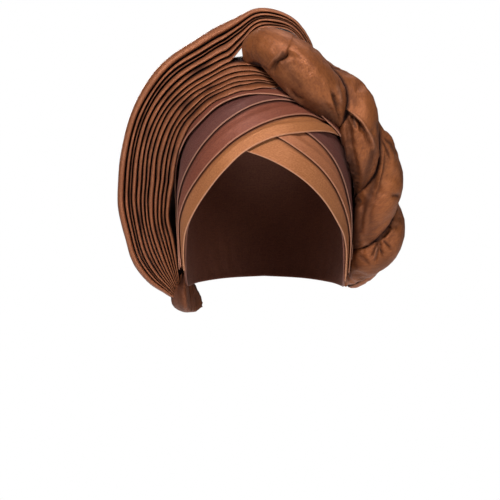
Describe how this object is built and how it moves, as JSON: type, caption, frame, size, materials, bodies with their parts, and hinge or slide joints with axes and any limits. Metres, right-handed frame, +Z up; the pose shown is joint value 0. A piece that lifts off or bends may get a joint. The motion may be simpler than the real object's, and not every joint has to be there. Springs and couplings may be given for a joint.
{
  "type": "turban cap",
  "caption": "Ready-tied head wrap cap in shot cloth: crossed brow bands, a tall fan of pleats over one side and a thick rope twist down the other",
  "frame": {"origin": "On the inside of the crown, where the top of the wearer's head touches the cap", "axes": "+Z up, -Y towards the face opening, +X to the right of someone who looks at the wearer"},
  "size_m": [0.2492, 0.1919, 0.263],
  "materials": {
    "cap_cloth": "satin",
    "bright_cloth": "satin",
    "shot_cloth": "satin",
    "dusky_cloth": "satin",
    "pleat_cloth": "satin",
    "twist_cloth": "satin"
  },
  "bodies": {
    "root": {"cap": "cap_cloth", "under_band_low": "bright_cloth", "under_band_mid": "shot_cloth", "under_band_high": "dusky_cloth", "over_band_low": "bright_cloth", "over_band_mid": "shot_cloth", "over_band_high": "dusky_cloth", "arch_band": "shot_cloth", "inner_pleats": "pleat_cloth", "outer_pleats": "pleat_cloth", "twist_strand_a": "twist_cloth", "twist_strand_b": "twist_cloth", "side_bun": "pleat_cloth"}
  },
  "joints": []
}
